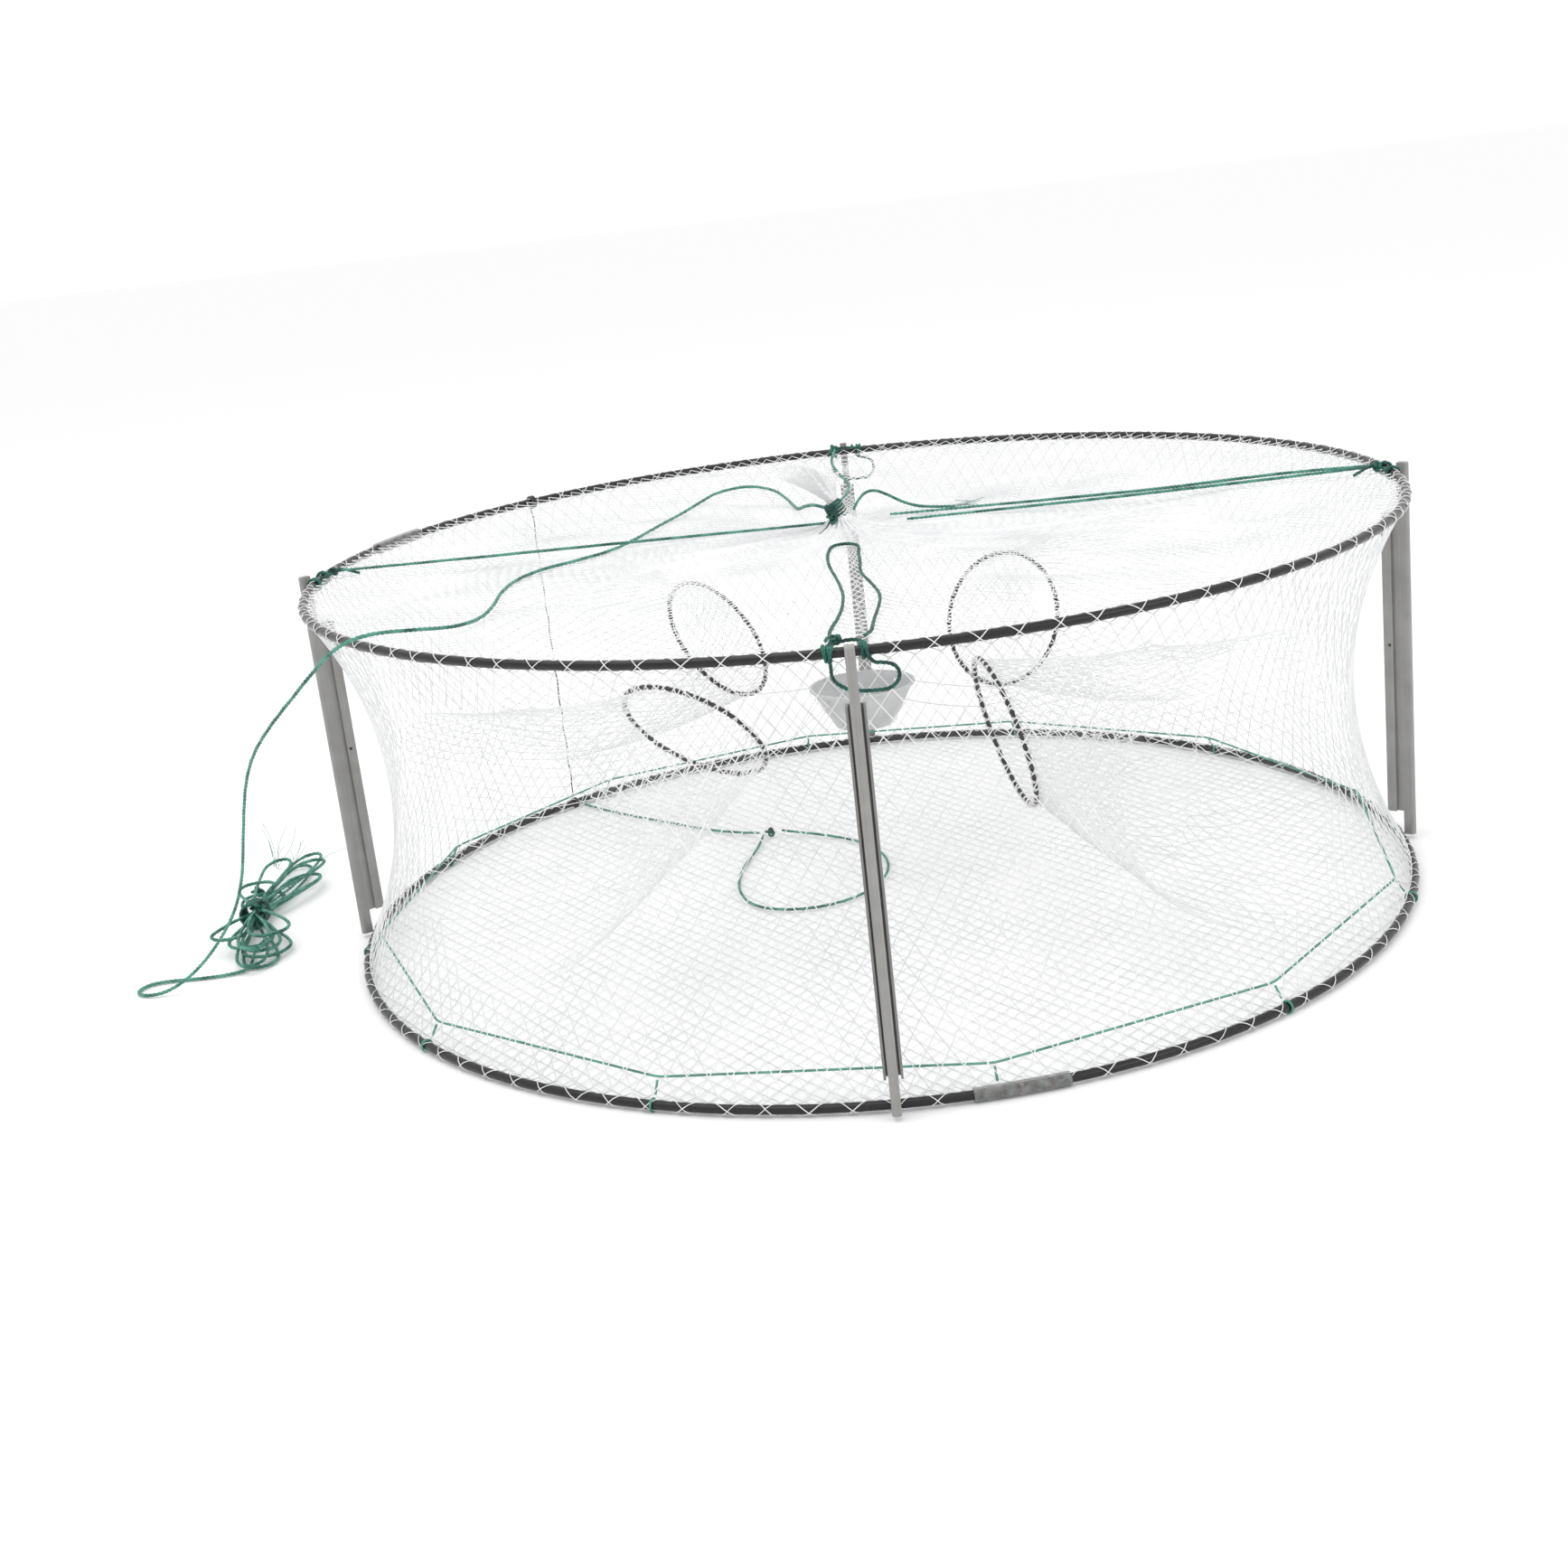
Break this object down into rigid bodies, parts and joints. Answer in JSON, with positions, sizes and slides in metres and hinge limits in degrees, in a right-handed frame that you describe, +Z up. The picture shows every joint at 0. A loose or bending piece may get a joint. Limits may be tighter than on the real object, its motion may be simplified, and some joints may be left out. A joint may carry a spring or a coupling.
{
  "type": "folding crab trap",
  "caption": "Folding crab trap: two wire hoops held apart by props, closed by netting with funnel entries, a hanging bait cup and a haul line.",
  "frame": {"origin": "on the ground, under the middle of the bottom hoop", "axes": "+Z up along the trap's axis; -Y towards the front prop; +X to the right seen from the front"},
  "size_m": [0.9826, 0.8306, 0.3398],
  "materials": {
    "coated_wire": "satin black plastic coating",
    "clear_sleeve": "translucent soft tube",
    "white_netting": "knotted nylon netting",
    "white_twine": "thin nylon twine",
    "green_cord": "twisted polyethylene cord",
    "dark_green_cord": "tightly knotted polyethylene cord",
    "grey_plastic": "extruded rigid plastic",
    "cup_plastic": "translucent soft moulding",
    "dark_twine": "thin dark twine"
  },
  "bodies": {
    "base": {"bottom_ring": "coated_wire", "bottom_ring_sleeve": "clear_sleeve", "bottom_net": "white_netting", "bottom_ring_lacing": "white_twine", "foot_twine": "green_cord", "foot_twine_ties": "green_cord", "side_net": "white_netting", "seam_cord": "dark_twine", "seam_foot_hitch": "dark_twine", "floor_cord": "green_cord", "floor_cord_knot": "dark_green_cord", "haul_line": "green_cord", "haul_hank": "green_cord", "haul_hank_binding": "dark_green_cord", "cup_tethers": "white_twine", "entry_funnel_front_right": "white_netting", "entry_funnel_back_right": "white_netting", "entry_funnel_back_left": "white_netting", "entry_funnel_front_left": "white_netting"},
    "top_frame": {"top_ring": "coated_wire", "top_ring_sleeve": "clear_sleeve", "top_net": "white_netting", "top_net_tuft": "white_netting", "top_ring_lacing": "white_twine", "gather_wrap": "dark_green_cord", "left_brace": "green_cord", "right_brace": "green_cord", "front_slack_loop": "green_cord", "back_slack_strand": "green_cord", "gather_tail": "green_cord", "front_tie": "dark_green_cord", "right_tie": "dark_green_cord", "back_tie": "dark_green_cord", "left_tie": "dark_green_cord", "front_bow": "dark_twine", "back_bow": "dark_twine", "seam_top_hitch": "dark_twine"},
    "front_prop_body": {"front_prop": "grey_plastic"},
    "right_prop_body": {"right_prop": "grey_plastic"},
    "back_prop_body": {"back_prop": "grey_plastic"},
    "left_prop_body": {"left_prop": "grey_plastic"},
    "front_right_hoop": {"entry_hoop_front_right": "coated_wire", "entry_lacing_front_right": "white_twine"},
    "back_right_hoop": {"entry_hoop_back_right": "coated_wire", "entry_lacing_back_right": "white_twine"},
    "back_left_hoop": {"entry_hoop_back_left": "coated_wire", "entry_lacing_back_left": "white_twine"},
    "front_left_hoop": {"entry_hoop_front_left": "coated_wire", "entry_lacing_front_left": "white_twine"},
    "cup": {"bait_cup": "cup_plastic"}
  },
  "joints": [
    {"name": "fold", "type": "slide", "parent": "base", "child": "top_frame", "axis": [0, 0, -1], "range_m": [0, 0.232], "deforming": ["side_net", "seam_cord", "haul_line", "cup_tethers", "entry_funnel_front_right", "entry_funnel_back_right", "entry_funnel_back_left", "entry_funnel_front_left"]},
    {"name": "front_prop_lean", "type": "hinge", "parent": "base", "child": "front_prop_body", "pos_m": [-0.01, -0.396, 0.008], "axis": [0.309, -0.9511, 0], "range_deg": [0, 90]},
    {"name": "right_prop_lean", "type": "hinge", "parent": "base", "child": "right_prop_body", "pos_m": [0.396, -0.01, 0.008], "axis": [0.9511, 0.309, 0], "range_deg": [0, 90]},
    {"name": "back_prop_lean", "type": "hinge", "parent": "base", "child": "back_prop_body", "pos_m": [0.01, 0.396, 0.008], "axis": [-0.309, 0.9511, 0], "range_deg": [0, 90]},
    {"name": "left_prop_lean", "type": "hinge", "parent": "base", "child": "left_prop_body", "pos_m": [-0.396, 0.01, 0.008], "axis": [-0.9511, -0.309, 0], "range_deg": [0, 90]},
    {"name": "front_right_hoop_settle", "type": "hinge", "parent": "base", "child": "front_right_hoop", "pos_m": [0.1958, -0.13255, 0.10234], "axis": [0.1908, -0.9816, 0], "range_deg": [0, 77]},
    {"name": "back_right_hoop_settle", "type": "hinge", "parent": "base", "child": "back_right_hoop", "pos_m": [0.05702, 0.06306, 0.07773], "axis": [-0.766, 0.6428, 0], "range_deg": [0, 72]},
    {"name": "back_left_hoop_settle", "type": "hinge", "parent": "base", "child": "back_left_hoop", "pos_m": [0.01004, 0.0819, 0.07565], "axis": [-0.4067, -0.9135, 0], "range_deg": [0, 57]},
    {"name": "front_left_hoop_settle", "type": "hinge", "parent": "base", "child": "front_left_hoop", "pos_m": [-0.02688, -0.00558, 0.07052], "axis": [0.8192, -0.5736, 0], "range_deg": [0, 50]},
    {"name": "cup_sink", "type": "slide", "parent": "base", "child": "cup", "axis": [0, 0, -1], "range_m": [0, 0.123]}
  ],
  "couplings": [
    {"joint": "front_prop_lean", "follows": "fold", "rad_per_m": 6.77},
    {"joint": "right_prop_lean", "follows": "fold", "rad_per_m": 6.77},
    {"joint": "back_prop_lean", "follows": "fold", "rad_per_m": 6.77},
    {"joint": "left_prop_lean", "follows": "fold", "rad_per_m": 6.77},
    {"joint": "front_right_hoop_settle", "follows": "fold", "rad_per_m": 5.792},
    {"joint": "back_right_hoop_settle", "follows": "fold", "rad_per_m": 5.416},
    {"joint": "back_left_hoop_settle", "follows": "fold", "rad_per_m": 4.288},
    {"joint": "front_left_hoop_settle", "follows": "fold", "rad_per_m": 3.761},
    {"joint": "cup_sink", "follows": "fold", "ratio": 0.53}
  ]
}
